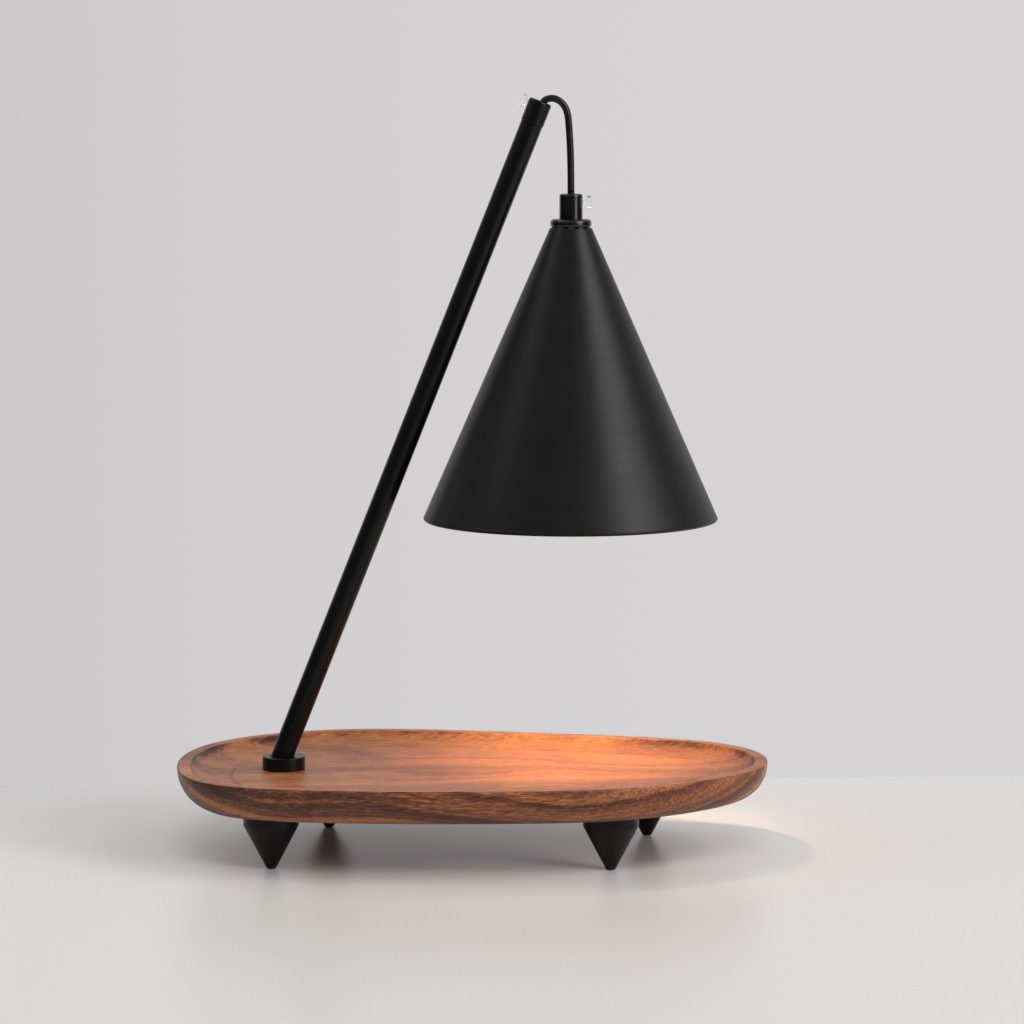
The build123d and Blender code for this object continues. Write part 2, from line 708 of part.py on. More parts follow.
def bulb_lens():
    lens_dia = bulb_dia - 2 * bulb_wall - 2 * thread_clearance
    return shade_axis * rod(lens_dia, bulb_front_z, bulb_front_z + bulb_lens_thickness)


def bulb_capsule():
    """Small closed glass tube around the filament, with a domed end."""
    tip_z = bulb_neck_z - capsule_length
    glass = rod(capsule_dia, tip_z, bulb_neck_z)
    glass = fillet(glass.edges().group_by(Axis.Z)[0], round_end_share * capsule_dia / 2)
    hollow_dia = capsule_dia - 2 * capsule_wall
    hollow = rod(hollow_dia, tip_z + capsule_wall, bulb_neck_z + cut_over)
    hollow = fillet(hollow.edges().group_by(Axis.Z)[0], round_end_share * hollow_dia / 2)
    return shade_axis * (glass - hollow)


def bulb_filament():
    """Hairpin of wire that hangs from the bulb's foot into the capsule."""
    end_z = bulb_neck_z - filament_length
    corners = [(-1, bulb_neck_z), (-1, end_z), (1, end_z), (1, bulb_neck_z)]
    points = [Vector(shade_x + side * filament_half_width, 0, z) for side, z in corners]
    return tube_along(filament_dia, points)


# ---- the whole lamp ------------------------------------------------------------------------
def lamp():
    """Every piece by name. A list holds several solids of the same kind."""
    pieces = {"tray": tray()}
    for name, (x, y) in zip(foot_places, foot_centres()):
        pieces[name] = Pos(x, y, 0) * foot()
    for make in (
        foot_studs, arm_collar, arm_stud, stud_washer, stud_nut, inlet_bush, arm_tube, tip_ferrule,
        arm_cord, cord_arch, tip_thumb_screw, cord_hang, cord_drop, cord_grip, shade_disc,
        grip_nipple, shade_cone, nipple_nut, holder_bracket, lampholder, holder_screws,
        holder_contacts, holder_leads, grip_thumb_screw, bulb_base, bulb_pins, bulb_reflector,
        bulb_lens, bulb_capsule, bulb_filament,
    ):
        pieces[make.__name__] = make()
    return pieces


os.makedirs("parts", exist_ok=True)
for name, piece in lamp().items():
    whole = Compound(children=piece) if isinstance(piece, list) else piece
    whole.label = name
    export_step(whole, f"parts/{name}.step")
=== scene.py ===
import json
import math

import bmesh
import bpy
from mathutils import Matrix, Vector


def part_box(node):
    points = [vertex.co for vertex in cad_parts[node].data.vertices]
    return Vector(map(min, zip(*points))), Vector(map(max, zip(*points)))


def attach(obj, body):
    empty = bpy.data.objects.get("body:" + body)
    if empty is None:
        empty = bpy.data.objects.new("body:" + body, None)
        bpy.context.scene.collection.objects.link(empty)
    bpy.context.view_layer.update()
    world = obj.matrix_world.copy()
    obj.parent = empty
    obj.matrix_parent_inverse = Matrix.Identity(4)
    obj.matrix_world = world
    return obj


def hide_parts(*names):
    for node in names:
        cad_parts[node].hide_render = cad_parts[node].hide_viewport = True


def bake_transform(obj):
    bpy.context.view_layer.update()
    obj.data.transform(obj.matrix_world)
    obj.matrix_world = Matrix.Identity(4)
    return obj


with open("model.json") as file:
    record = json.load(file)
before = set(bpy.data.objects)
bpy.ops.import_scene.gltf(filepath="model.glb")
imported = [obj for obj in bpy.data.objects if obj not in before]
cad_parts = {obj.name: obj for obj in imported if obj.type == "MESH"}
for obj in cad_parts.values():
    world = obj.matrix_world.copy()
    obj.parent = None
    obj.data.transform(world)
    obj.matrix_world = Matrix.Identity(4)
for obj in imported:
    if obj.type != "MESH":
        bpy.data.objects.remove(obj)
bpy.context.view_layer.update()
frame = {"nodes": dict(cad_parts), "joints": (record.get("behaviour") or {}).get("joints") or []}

# Candle warmer lamp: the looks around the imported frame. Lengths are in metres, in the frame's axes:
# X runs along the tray from the arm towards the candle, Y away from the front, Z up.

nodes = frame["nodes"]
scene = bpy.context.scene
sideways = Vector((0, 1, 0))


# ---- small helpers -------------------------------------------------------------------------
def middle_of(node):
    low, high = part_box(node)
    return (low + high) / 2


def linked(name, data):
    """A new object in the scene."""
    piece = bpy.data.objects.new(name, data)
    scene.collection.objects.link(piece)
    return piece


def dimmed(colour, share):
    return tuple(channel * share for channel in colour)


shade_axis_x = middle_of("cord_grip").x


class Finish:
    """One node material. Its methods add a node and give back the node's main output."""

    def __init__(self, name):
        self.material = bpy.data.materials.new(name)
        self.material.use_nodes = True
        self.tree = self.material.node_tree
        self.tree.nodes.clear()

    def add(self, kind, inputs=None, **settings):
        node = self.tree.nodes.new("ShaderNode" + kind)
        for key, value in settings.items():
            setattr(node, key, value)
        for key, value in (inputs or {}).items():
            if isinstance(value, bpy.types.NodeSocket):
                self.tree.links.new(value, node.inputs[key])
            else:
                node.inputs[key].default_value = value
        return node

    def place(self):
        """The point in the frame's axes, in metres, as it is at rest."""
        return self.add("TexCoord").outputs["Object"]

    def normal(self):
        return self.add("TexCoord").outputs["Normal"]

    def parts(self, vector):
        return self.add("SeparateXYZ", {"Vector": vector}).outputs

    def vectors(self, operation, *values):
        inputs = dict(enumerate(values))
        return self.add("VectorMath", inputs, operation=operation).outputs["Vector"]

    def dot(self, first, second):
        node = self.add("VectorMath", {0: first, 1: second}, operation="DOT_PRODUCT")
        return node.outputs["Value"]

    def stretched(self, vector, scale):
        return self.vectors("MULTIPLY", vector, scale)

    def noise(self, vector, scale=1.0, detail=2.0, roughness=0.5):
        inputs = {"Vector": vector, "Scale": scale, "Detail": detail, "Roughness": roughness}
        return self.add("TexNoise", inputs).outputs["Fac"]

    def band_noise(self, value, detail):
        """Noise along one value, for layers."""
        inputs = {"W": value, "Scale": 1.0, "Detail": detail, "Roughness": 0.55}
        return self.add("TexNoise", inputs, noise_dimensions="1D").outputs["Fac"]

    def cells(self, vector, scale):
        return self.add("TexVoronoi", {"Vector": vector, "Scale": scale}).outputs["Distance"]

    def math(self, operation, *values):
        return self.add("Math", dict(enumerate(values)), operation=operation).outputs[0]

    def plus(self, total, value, weight):
        """The total and the weighted value together."""
        return self.math("MULTIPLY_ADD", value, weight, total)

    def centred(self, noise):
        return self.math("SUBTRACT", noise, 0.5)

    def spread(self, value, low, high, to_low=0.0, to_high=1.0, how="LINEAR"):
        """The value, taken from one range to another."""
        inputs = {
            "Value": value, "From Min": low, "From Max": high, "To Min": to_low, "To Max": to_high,
        }
        return self.add("MapRange", inputs, interpolation_type=how).outputs["Result"]

    def smooth(self, *limits):
        return self.spread(*limits, how="SMOOTHSTEP")

    def ramp(self, value, stops):
        node = self.add("ValToRGB", {"Fac": value})
        points = node.color_ramp.elements
        while len(points) < len(stops):
            points.new(0.5)
        for point, (position, colour) in zip(points, stops):
            point.position = position
            point.color = (*colour, 1.0)
        return node.outputs["Color"]

    def mix(self, factor, first, second):
        node = self.add("Mix", {"Factor": factor}, data_type="RGBA")
        # Sockets 6 and 7 are the two colours. The node has others of the same names.
        for socket, value in ((node.inputs[6], first), (node.inputs[7], second)):
            if isinstance(value, bpy.types.NodeSocket):
                self.tree.links.new(value, socket)
            else:
                socket.default_value = (*value, 1.0)
        return node.outputs[2]

    def bump(self, height, distance, strength):
        inputs = {"Height": height, "Distance": distance, "Strength": strength}
        return self.add("Bump", inputs).outputs["Normal"]

    def surface(self, **inputs):
        """Ends the material in one shader. An underscore in a name stands for a space."""
        names = {key.replace("_", " "): value for key, value in inputs.items()}
        for key, value in names.items():
            if isinstance(value, tuple) and len(value) == 3:
                names[key] = (*value, 1.0)
        shader = self.add("BsdfPrincipled", names)
        output = self.add("OutputMaterial")
        self.tree.links.new(shader.outputs["BSDF"], output.inputs["Surface"])
        return self.material


# ---- walnut --------------------------------------------------------------------------------
layer_rise = 1.7  # change of layer with height
layer_lean = -0.62  # and across the board, at the frame's origin
layer_fan = -2.2  # more of that lean for each metre towards the right end
layer_drift = -0.05  # and along the board
sweep_bend = 0.075  # how far the widest wander moves a layer
wave_bend = 0.012
broad_layers = 52.0  # for each unit of layer
narrow_layers = 270.0
broad_start = 20.2  # picks the broad streaks that fall on the tray

feather_slant = (0.86, 0.36, 0.36)  # along the strokes, of about unit length
feather_scale = 380.0  # across a stroke
feather_stretch = -330.0  # taken off that scale along a stroke

# Weights of the noises in the tone, which runs from 0, darkest, to 1.
patch_weight = 0.55
feather_weight = 0.85
outer_calm = 0.40  # share of those two that is left on the outside
broad_weight = 1.15
narrow_weight = 0.42
fibre_weight = 0.85
flat_weight, steep_weight = 0.42, 1.0  # of the streaks, by how steep the cut is
flat_tone, steep_tone = 0.59, 0.48
inner_dashes, outer_dashes = 0.20, 0.80
# Painted shade on the tray's outside, and more painted shade below the rim on the left.
outer_painted_shade = 0.10
under_rim_painted_shade = 0.24

walnut_colours = [
    (0.10, (0.048, 0.016, 0.009)), (0.32, (0.125, 0.039, 0.018)), (0.50, (0.262, 0.084, 0.034)),
    (0.70, (0.410, 0.152, 0.052)), (0.92, (0.540, 0.240, 0.080)),
]
pore_colour = (0.040, 0.014, 0.008)


def walnut():
    """Oiled hardwood cut from one board, with the grain along X."""
    f = Finish("walnut")
    at = f.place()
    x, y, z = f.parts(at)

    def grain(along, across, **more):
        """Noise in strokes along the grain, from its scales along and across them."""
        return f.noise(f.stretched(at, (along, across, across)), **more)

    # Growth layers: they run along X, lean back more towards the right end, and wander.
    sweep = grain(7.0, 11.0, detail=1.0)
    wave = grain(16.0, 60.0)
    layer = f.plus(f.math("MULTIPLY", y, f.plus(layer_lean, x, layer_fan)), z, layer_rise)
    layer = f.plus(layer, x, layer_drift)
    layer = f.plus(layer, sweep, sweep_bend)
    layer = f.plus(layer, wave, wave_bend)
    broad = f.band_noise(f.plus(broad_start, layer, broad_layers), detail=1.0)
    narrow = f.band_noise(f.math("MULTIPLY", layer, narrow_layers), detail=3.0)
    fibres = grain(30.0, 900.0, detail=3.0, roughness=0.65)
    patches = grain(18.0, 60.0)

    # Feathers: short strokes that slant up to the right where the cut is steep.
    squeeze = f.math("MULTIPLY", f.dot(at, feather_slant), feather_stretch)
    back = f.add("VectorMath", {0: feather_slant, "Scale": squeeze}, operation="SCALE")
    strokes = f.vectors("MULTIPLY_ADD", at, (feather_scale,) * 3, back.outputs[0])
    feathers = f.noise(strokes, detail=3.0, roughness=0.6)

    # Where the cut is steep, and where it is the outside: its normal leads outward or down.
    facing = f.parts(f.normal())["Z"]
    steep = f.smooth(f.math("ABSOLUTE", facing), 0.995, 0.85)
    outward = f.dot(f.stretched(at, (1.0, 1.0, 0.0)), f.normal())
    outside = f.math("MAXIMUM", f.smooth(outward, 0.015, 0.045), f.smooth(facing, 0.0, -0.2))

    shift = f.math("MULTIPLY", f.centred(patches), patch_weight)
    shift = f.plus(shift, f.centred(feathers), feather_weight)
    shift = f.math("MULTIPLY", shift, f.spread(outside, 0.0, 1.0, 1.0, outer_calm))
    shift = f.plus(shift, f.centred(broad), broad_weight)
    streaks = f.spread(steep, 0.0, 1.0, flat_weight, steep_weight)
    tone = f.plus(f.spread(steep, 0.0, 1.0, flat_tone, steep_tone), shift, streaks)
    tone = f.plus(tone, f.centred(narrow), narrow_weight)
    tone = f.plus(tone, f.centred(fibres), fibre_weight)

    # Painted shade: the outside is darker, most of all below the rim on the left.
    under_rim = f.smooth(f.plus(z, wave, 0.008), 0.0460, 0.0520)
    leftward = f.smooth(f.plus(x, sweep, 0.10), 0.10, -0.06)
    # Painted shade, taken off the tone on the outside.
    painted_shade = f.plus(outer_painted_shade, f.math("MULTIPLY", under_rim, leftward), under_rim_painted_shade)
    tone = f.math("SUBTRACT", tone, f.math("MULTIPLY", outside, painted_shade))

    # Short dashes: cut fibres, plainest on the outside.
    dashes = grain(150.0, 2100.0, detail=1.0)
    dash_weight = f.spread(outside, 0.0, 1.0, inner_dashes, outer_dashes)
    tone = f.plus(tone, f.centred(dashes), dash_weight)

    pores = f.smooth(grain(230.0, 1700.0, detail=1.0), 0.55, 0.68)
    colour = f.mix(f.math("MULTIPLY", pores, 0.60), f.ramp(tone, walnut_colours), pore_colour)
    relief = f.math("SUBTRACT", f.math("MULTIPLY", fibres, 0.5), pores)
    return f.surface(
        Base_Color=colour, Roughness=f.spread(fibres, 0.3, 0.7, 0.36, 0.46),
        Specular_IOR_Level=0.33, Normal=f.bump(relief, 0.00010, 0.6),
    )


# ---- other materials -----------------------------------------------------------------------
# Nearly all values of a noise lie between these two.
noise_low, noise_high = 0.3, 0.7

coat_black = (0.0026, 0.0026, 0.0028)
enamel_white = (0.78, 0.77, 0.74)
lamp_glass = (0.8, 0.7, 0.6)  # under the light that it gives off


def coated_metal(name, roughness, shine=0.5):
    """Black powder coat with its fine orange peel."""
    f = Finish(name)
    at = f.place()
    peel = f.noise(at, scale=1100.0, detail=1.0)
    patch = f.noise(at, scale=60.0)
    share = f.spread(patch, noise_low, noise_high)
    rough = f.spread(patch, noise_low, noise_high, roughness - 0.03, roughness + 0.03)
    return f.surface(
        Base_Color=f.mix(share, dimmed(coat_black, 0.85), dimmed(coat_black, 1.15)),
        Roughness=rough, Specular_IOR_Level=shine, Normal=f.bump(peel, 0.000004, 0.4),
    )


def spun_paint():
    """Black satin paint outside over the fine rings of the spinning lathe, white enamel inside."""
    f = Finish("shade_paint")
    at = f.place()
    lines = f.noise(f.stretched(at, (7.0, 7.0, 1700.0)), roughness=0.6)
    patch = f.noise(at, scale=45.0, detail=3.0)
    share = f.spread(lines, noise_low, noise_high)
    outside = f.mix(share, (0.0040, 0.0040, 0.0043), (0.0060, 0.0060, 0.0063))
    # The inner face looks down and towards the shade's axis.
    facing = f.parts(f.normal())
    point = f.parts(at)
    off_axis = f.math("ADD", point["X"], -shade_axis_x)
    outward = f.plus(f.math("MULTIPLY", point["Y"], facing["Y"]), off_axis, facing["X"])
    inside = f.math("LESS_THAN", outward, 0.0)
    return f.surface(
        Base_Color=f.mix(inside, outside, enamel_white),
        Roughness=f.spread(f.plus(lines, patch, 0.4), 0.5, 0.9, 0.36, 0.44),
        Specular_IOR_Level=0.20, Normal=f.bump(lines, 0.00003, 0.35),
    )


def plain_metal(name, colour, roughness):
    f = Finish(name)
    grain = f.noise(f.place(), scale=900.0, detail=3.0)
    share = f.spread(grain, noise_low, noise_high)
    return f.surface(
        Base_Color=f.mix(share, dimmed(colour, 0.8), colour), Metallic=1.0,
        Roughness=f.spread(grain, noise_low, noise_high, roughness * 0.8, roughness * 1.2),
        Normal=f.bump(grain, 0.00001, 0.3),
    )


def moulded(name, colour, roughness, scale=700.0, **more):
    f = Finish(name)
    grain = f.noise(f.place(), scale=scale, detail=3.0)
    share = f.spread(grain, noise_low, noise_high)
    return f.surface(
        Base_Color=f.mix(share, dimmed(colour, 0.85), colour),
        Roughness=f.spread(grain, noise_low, noise_high, roughness - 0.05, roughness + 0.05),
        Normal=f.bump(grain, 0.00003, 0.3), **more,
    )


def clear(name, roughness, ior):
    f = Finish(name)
    haze = f.noise(f.place(), scale=500.0)
    return f.surface(
        Base_Color=(0.97, 0.98, 0.98), Transmission_Weight=1.0, IOR=ior,
        Roughness=f.spread(haze, noise_low, noise_high, roughness, roughness + 0.05),
    )


def glowing(name, colour, strength):
    f = Finish(name)
    flicker = f.noise(f.place(), scale=800.0)
    glow = f.mix(flicker, colour, dimmed(colour, 0.9))
    return f.surface(Base_Color=lamp_glass, Emission_Color=glow, Emission_Strength=strength)


def lit_lens():
    """Lit front glass: a hot middle, and the reflector's facets behind the rest."""
    f = Finish("clear_glass_lit")
    flat = f.stretched(
        f.vectors("SUBTRACT", f.place(), (shade_axis_x, 0.0, 0.0)), (1.0, 1.0, 0.0),
    )
    radius = f.add("VectorMath", {0: flat}, operation="LENGTH").outputs["Value"]
    facets = f.spread(f.cells(flat, scale=330.0), 0.1, 0.7, 1.0, 0.5)
    ring = f.smooth(radius, 0.006, 0.024, 0.85, 0.30)
    heart = f.smooth(radius, 0.009, 0.004)
    glow = f.ramp(f.math("MAXIMUM", f.math("MULTIPLY", ring, facets), heart), [
        (0.1, (0.30, 0.13, 0.04)), (0.45, (0.80, 0.46, 0.20)), (0.8, (0.95, 0.74, 0.46)),
        (1.0, (1.0, 0.96, 0.86)),
    ])
    return f.surface(
        Base_Color=lamp_glass, Emission_Color=glow, Emission_Strength=1.0, Roughness=0.1,
    )


flex_sheath = moulded(
    "black_flex", (0.0045, 0.0045, 0.0048), 0.34, scale=1500.0, Specular_IOR_Level=0.35,
)
acrylic = clear("clear_plastic", 0.16, 1.36)

finish_of = {
    walnut(): ["tray"],
    coated_metal("black_metal", 0.24): ["cord_grip", "shade_disc"],
    coated_metal("black_metal_satin", 0.30, shine=0.22): [
        "arm_collar", "arm_tube", "tip_ferrule",
        "foot_front_left", "foot_front_right", "foot_back_left", "foot_back_right",
    ],
    spun_paint(): ["shade_cone"],
    plain_metal("zinc_steel", (0.56, 0.57, 0.58), 0.38): [
        "foot_studs", "arm_stud", "stud_washer", "stud_nut", "grip_nipple", "nipple_nut",
        "holder_bracket", "holder_screws",
    ],
    moulded("black_plastic", (0.012, 0.012, 0.013), 0.45): ["inlet_bush"],
    flex_sheath: ["arm_cord", "cord_arch", "cord_hang", "cord_drop"],
    acrylic: ["tip_thumb_screw", "grip_thumb_screw"],
    moulded("white_ceramic", (0.80, 0.78, 0.74), 0.42): ["lampholder", "bulb_base"],
    plain_metal("contact_brass", (0.78, 0.58, 0.30), 0.30): ["holder_contacts"],
    moulded("lead_silicone", (0.62, 0.60, 0.56), 0.5): ["holder_leads"],
    plain_metal("pin_nickel", (0.66, 0.64, 0.60), 0.28): ["bulb_pins"],
    plain_metal("reflector_mirror", (0.90, 0.90, 0.92), 0.12): ["bulb_reflector"],
    clear("clear_glass", 0.02, 1.46): ["bulb_capsule"],
    lit_lens(): ["bulb_lens"],
    glowing("filament_wire", (1.0, 0.62, 0.28), 60.0): ["bulb_filament"],
}
for finish, names in finish_of.items():
    for name in names:
        materials = nodes[name].data.materials
        materials.clear()
        materials.append(finish)


# ---- pieces made of rings ------------------------------------------------------------------
def turns_of(sides):
    return [2 * math.pi * side / sides for side in range(sides)]


def ringed_piece(name, rings, smooth_ends):
    """Closed piece whose skin leads from each ring of points to the next."""
    work = bmesh.new()
    rings = [[work.verts.new(point) for point in ring] for ring in rings]
    for lower, upper in zip(rings, rings[1:]):
        for here in range(len(lower)):
            after = (here + 1) % len(lower)
            skin = work.faces.new((lower[here], lower[after], upper[after], upper[here]))
            skin.smooth = True
    for ring in (rings[0][::-1], rings[-1]):
        work.faces.new(ring).smooth = smooth_ends
    bmesh.ops.recalc_face_normals(work, faces=work.faces)
    mesh = bpy.data.meshes.new(name)
    work.to_mesh(mesh)
    work.free()
    return linked(name, mesh)


# ---- flex ----------------------------------------------------------------------------------
flex_diameter = 0.0038
flex_sides = 28
flex_steps = 14  # along each bend
mouth = (0.036721, 0.409007)  # X and Z of the middle of the ferrule's end face
# Control points of the free flex, from inside the ferrule to inside the grip: sideways and up from
# the mouth.
flex_route = [
    (-0.00025, -0.00351), (0.0010, -0.00035), (0.0039, 0.00145), (0.0080, 0.00145),
    (0.0123, -0.00155), (0.0145, -0.0066), (0.0152, -0.0138), (0.0159, -0.0253),
    (0.0163, -0.0408), (0.0163, -0.0562),
]
lengthening_z = 0.3903  # where the arch piece ends and the drop piece starts; on the lamp the flex below it lengthens as the shade is let down
nod_bend = 0.0010  # above the cord grip's mouth, where the drop piece ends and the end piece starts; on the lamp the flex bends there as the shade nods


def smooth_line(points):
    """Points along the smooth curve that has these as its control points."""
    curve = bpy.data.curves.new("route", "CURVE")
    curve.dimensions = "3D"
    curve.resolution_u = flex_steps
    spline = curve.splines.new("NURBS")
    spline.points.add(len(points) - 1)
    for control, point in zip(spline.points, points):
        control.co = (*point, 1.0)
    spline.order_u = 3
    spline.use_endpoint_u = True
    route = bpy.data.objects.new("route", curve)
    mesh = bpy.data.meshes.new_from_object(route)
    line = [vertex.co.copy() for vertex in mesh.vertices]
    bpy.data.objects.remove(route)
    bpy.data.curves.remove(curve)
    bpy.data.meshes.remove(mesh)
    return line


def cut_at(line, height):
    """The line in two parts, above and below a height, which share the point between them."""
    for here, (a, b) in enumerate(zip(line, line[1:])):
        if a.z > height >= b.z:
            between = a.lerp(b, (a.z - height) / (a.z - b.z))
            return line[:here + 1] + [between], [between] + line[here + 1:]
    raise ValueError("the line does not pass this height")


def flex_piece(name, line):
    """Closed round tube along a line that lies in an X-Z plane."""
    rings = []
    for here, point in enumerate(line):
        ahead = line[min(here + 1, len(line) - 1)] - line[max(here - 1, 0)]
        across = ahead.normalized().cross(sideways)
        ring = []
        for turn in turns_of(flex_sides):
            offset = across * math.cos(turn) + sideways * math.sin(turn)
            ring.append(point + offset * flex_diameter / 2)
        rings.append(ring)
    piece = ringed_piece(name, rings, smooth_ends=False)
    piece.data.materials.append(flex_sheath)
    return piece


flex_line = smooth_line([(mouth[0] + side, 0.0, mouth[1] + up) for side, up in flex_route])
grip_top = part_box("cord_grip")[1].z
arch_line, below = cut_at(flex_line, lengthening_z)
drop_line, end_line = cut_at(below, grip_top + nod_bend)

flex_arch = flex_piece("flex_arch", arch_line)
flex_drop = flex_piece("flex_drop", drop_line)
flex_end = flex_piece("flex_end", end_line)
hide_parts("cord_arch", "cord_hang")
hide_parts("cord_drop")
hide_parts("cord_drop")
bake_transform(flex_arch)
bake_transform(flex_drop)
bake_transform(flex_end)


# ---- thumb screws --------------------------------------------------------------------------
knob_sides = 72
knob_lobes = 6
lobe_depth = 0.00042  # from a lobe's crest to the mean radius
head_share = 0.6  # of the head's radius: a point further out belongs to the head
shank_gap = 0.0002  # below the head, where the shank's radius is not read
knob_edge = 0.0011
edge_steps = 4
dimple_depth = 0.0005
dimple_radius = 0.6  # of the head's
dimple_rings = (0.55, 0.35, 0.05)  # of the head's radius
tip_rings = ((0.0, 0.5), (0.0003, 0.85))  # place from the tip, and share of the shank's radius
thread_pitch = 0.0005
thread_depth = 0.00022
thread_rings = 6  # for each turn
thread_start = 0.0004  # from the tip
thread_margin = 0.0005  # from the tip and the head together, left without thread


def lobed(radius):
    """Round for a small radius, and lobed as the radius nears the knob's own."""
    def radius_at(turn):
        wave = 1 - math.cos(knob_lobes * turn)
        return radius - lobe_depth * wave * (radius / head_radius) ** 2
    return radius_at


def threaded(along, radius):
    def radius_at(turn):
        phase = (along / thread_pitch + turn / (2 * math.pi)) % 1.0
        return radius - thread_depth * abs(2 * phase - 1)
    return radius_at


def plain(radius):
    return lambda turn: radius


def turned_piece(name, origin, axis, stations):
    """Closed piece round an axis. A station has a place along the axis and a radius at a turn."""
    across = axis.cross(sideways).normalized()
    over = axis.cross(across)
    rings = []
    for along, radius_at in stations:
        ring = []
        for turn in turns_of(knob_sides):
            out = across * math.cos(turn) + over * math.sin(turn)
            ring.append(origin + axis * along + out * radius_at(turn))
        rings.append(ring)
    return ringed_piece(name, rings, smooth_ends=True)


for node, joint_name, body in (
    ("tip_thumb_screw", "tip_screw_turn", "tip_screw"),
    ("grip_thumb_screw", "grip_screw_turn", "grip_screw"),
):
    # The solid's own sizes: its shank leads from the tip to the head, along the joint's axis.
    joint = next(j for j in frame["joints"] if j["name"] == joint_name)
    origin, axis = Vector(joint["pos_m"]), Vector(joint["axis"]).normalized()
    solid = [vertex.co - origin for vertex in nodes[node].data.vertices]
    spans = [(point.dot(axis), (point - axis * point.dot(axis)).length) for point in solid]
    tip, head_end = min(along for along, _ in spans), max(along for along, _ in spans)
    head_radius = max(radius for _, radius in spans)
    head_start = min(along for along, radius in spans if radius > head_share * head_radius)
    shank_radius = max(radius for along, radius in spans if along < head_start - shank_gap)

    stations = [(tip + along, plain(shank_radius * share)) for along, share in tip_rings]
    thread_length = head_start - tip - thread_margin
    for step in range(int(thread_length / thread_pitch * thread_rings)):
        along = tip + thread_start + step * thread_pitch / thread_rings
        stations.append((along, threaded(along, shank_radius)))
    stations.append((head_start, plain(shank_radius)))
    edge_turns = [math.radians(90) * step / edge_steps for step in range(edge_steps + 1)]
    for turn in edge_turns:
        radius = head_radius - knob_edge * (1 - math.sin(turn))
        stations.append((head_start + knob_edge * (1 - math.cos(turn)), lobed(radius)))
    for turn in edge_turns:
        radius = head_radius - knob_edge * (1 - math.cos(turn))
        stations.append((head_end - knob_edge * (1 - math.sin(turn)), lobed(radius)))
    for share in dimple_rings:
        depth = dimple_depth * (1 - share / dimple_radius) ** 0.5
        stations.append((head_end - depth, plain(head_radius * share)))
    knob = turned_piece(node.replace("thumb_screw", "knob"), origin, axis, stations)
    knob.data.materials.append(acrylic)
    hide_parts(node)
    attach(knob, body)


# ---- camera --------------------------------------------------------------------------------
camera_place = (0.0212, -2.2702, 0.44035)
camera_tilt = 6.38  # degrees below level
focal_length = 147.66  # millimetres, as is the sensor's width
sensor_width = 36.0

camera = linked("camera", bpy.data.cameras.new("camera"))
camera.location = camera_place
camera.rotation_euler = (math.radians(90 - camera_tilt), 0, 0)
camera.data.lens = focal_length
camera.data.sensor_width = sensor_width
camera.data.clip_start = 0.05
camera.data.clip_end = 20.0
scene.camera = camera


# ---- table and walls -----------------------------------------------------------------------
table_reach = 2  # from the origin to the left, right and front edges
table_back = (0.190, 0.237)  # Y of the table's back edge, at this X to the left and right
table_back_x = 0.33
room_left, room_right = -5, 5
room_front, room_back = -5, 3
room_floor, room_top = -8.0, 4.0
glow_reach = 0.817  # the backdrop's colours run between this X on either side


def stage_mesh(name, corners, material):
    mesh = bpy.data.meshes.new(name)
    mesh.from_pydata(corners, [], [list(range(len(corners)))])
    piece = linked(name, mesh)
    mesh.materials.append(material)
    return piece


def table_paint():
    f = Finish("table_paint")
    at = f.place()
    speck = f.noise(at, scale=420.0)
    patch = f.noise(at, scale=3.0)
    share = f.spread(speck, noise_low, noise_high)
    return f.surface(
        Base_Color=f.mix(share, (0.70, 0.68, 0.66), (0.74, 0.72, 0.70)),
        Roughness=f.spread(patch, noise_low, noise_high, 0.28, 0.30),
        Normal=f.bump(speck, 0.00004, 0.3),
    )


def wall_paint():
    """Evenly lit backdrop, a little brighter to the right."""
    f = Finish("wall_paint")
    glow = f.ramp(f.spread(f.parts(f.place())["X"], -glow_reach, glow_reach), [
        (0.0, (0.580, 0.564, 0.570)), (0.5, (0.655, 0.640, 0.648)), (1.0, (0.678, 0.662, 0.670)),
    ])
    return f.surface(
        Base_Color=(0.0, 0.0, 0.0), Emission_Color=glow, Emission_Strength=1.0, Roughness=1.0,
    )


def table_back_at(x):
    slope = (table_back[1] - table_back[0]) / (2 * table_back_x)
    return sum(table_back) / 2 + slope * x


table = stage_mesh("table_top", [
    (-table_reach, -table_reach, 0), (table_reach, -table_reach, 0),
    (table_reach, table_back_at(table_reach), 0), (-table_reach, table_back_at(-table_reach), 0),
], table_paint())

backdrop = wall_paint()
for name, start, end in (
    ("wall", (room_left, room_back), (room_right, room_back)),
    ("wall_left", (room_left, room_back), (room_left, room_front)),
    ("wall_behind", (room_left, room_front), (room_right, room_front)),
    ("wall_right", (room_right, room_front), (room_right, room_back)),
):
    side = stage_mesh(name, [
        (*start, room_floor), (*end, room_floor), (*end, room_top), (*start, room_top),
    ], backdrop)
    side.visible_diffuse = False
    # The other walls only fill the view from the sides and the back.
    if name != "wall":
        side.visible_glossy = False
        side.visible_shadow = False


# ---- lights --------------------------------------------------------------------------------
def aimed(name, data, way):
    light = linked(name, data)
    light.rotation_euler = Vector(way).to_track_quat("-Z", "Y").to_euler()
    return light


def area_light(name, place, aim, width, height, power):
    data = bpy.data.lights.new(name, "AREA")
    data.shape = "RECTANGLE"
    data.size = width
    data.size_y = height
    data.energy = power
    light = aimed(name, data, Vector(aim) - Vector(place))
    light.location = place
    return light


def far_light(name, place, spread, strength):
    """Even soft light for the matt surfaces, without a hot spot on the table."""
    data = bpy.data.lights.new(name, "SUN")
    data.energy = strength
    data.angle = math.radians(spread)
    aimed(name, data, -Vector(place)).visible_glossy = False


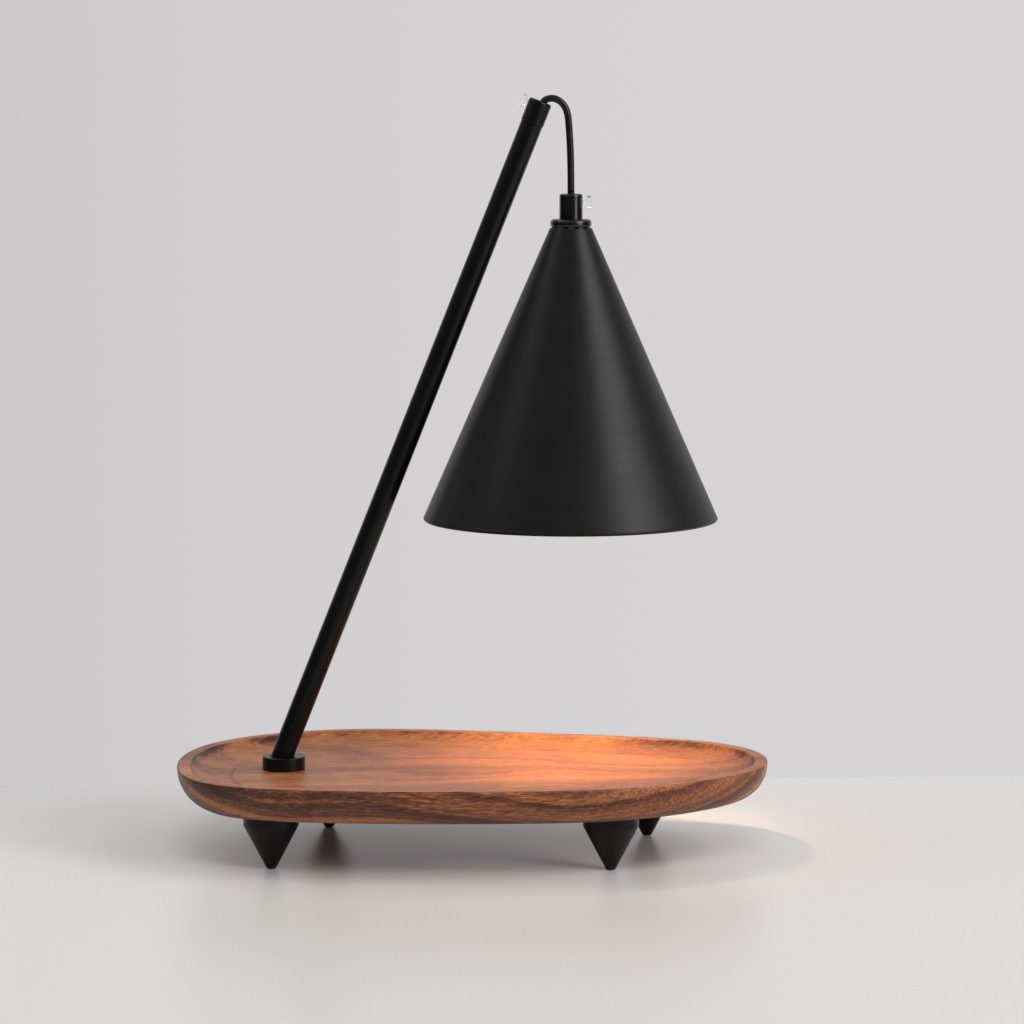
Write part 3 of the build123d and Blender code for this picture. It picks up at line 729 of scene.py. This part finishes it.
def beam(name, power, angle, lean, colour):
    """Light out of the bulb's front, which moves with the bulb."""
    data = bpy.data.lights.new(name, "SPOT")
    data.energy = power
    data.color = colour
    data.spot_size = math.radians(angle)
    data.spot_blend = 1.0
    data.shadow_soft_size = 0.011
    light = linked(name, data)
    light.location = (shade_axis_x, 0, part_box("bulb_lens")[0].z - 0.002)
    light.rotation_euler = (math.radians(lean), 0, 0)
    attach(light, "bulb")


area_light("right_softbox", (2.18, -1.04, 2.02), (0.05, 0, 0.2), 1.7, 1.7, 42.0)
# The strip only gives highlights, mostly to the black pieces, and leaves the table alone.
strip = area_light("front_strip", (1.07, -0.80, 0.72), (0.054, 0, 0.365), 0.50, 1.25, 7.0)
strip.visible_diffuse = False
strip_keeps_off = bpy.data.collections.new("strip_keeps_off")
strip_keeps_off.objects.link(table)
strip.light_linking.receiver_collection = strip_keeps_off
strip_keeps_off.collection_objects[0].light_linking.link_state = "EXCLUDE"
far_light("low_fill", (0.79, -0.55, 0.28), 20, 1.25)
far_light("front_fill", (0.05, -0.7, 0.7), 24, 0.85)
area_light("left_softbox", (-1.08, -0.14, 1.35), (0.05, 0, 0.3), 0.6, 0.6, 2.8)
area_light("top_softbox", (-0.45, 0.1, 1.7), (-0.1, 0.0, 0.0), 2.0, 1.0, 3.4)
beam("halogen_beam", 4.2, 61, 9, (1.0, 0.64, 0.34))
beam("halogen_spill", 1.1, 90, 6, (1.0, 0.62, 0.38))
beam("halogen_glow", 0.10, 165, 0, (1.0, 0.66, 0.40))

# The sky is brighter higher up.
world = bpy.data.worlds.new("world")
scene.world = world
world.use_nodes = True
sky = world.node_tree
direction = sky.nodes.new("ShaderNodeTexCoord").outputs["Generated"]
axes = sky.nodes.new("ShaderNodeSeparateXYZ")
sky.links.new(direction, axes.inputs[0])
height = sky.nodes.new("ShaderNodeMapRange")
height.interpolation_type = "SMOOTHSTEP"
for key, value in (("From Min", 0.10), ("From Max", 0.40), ("To Min", 0.01), ("To Max", 0.33)):
    height.inputs[key].default_value = value
sky.links.new(axes.outputs["Z"], height.inputs["Value"])
background = sky.nodes["Background"]
background.inputs["Color"].default_value = (1.0, 0.985, 0.97, 1.0)
sky.links.new(height.outputs["Result"], background.inputs["Strength"])

scene.view_settings.view_transform = "Standard"
scene.view_settings.look = "None"
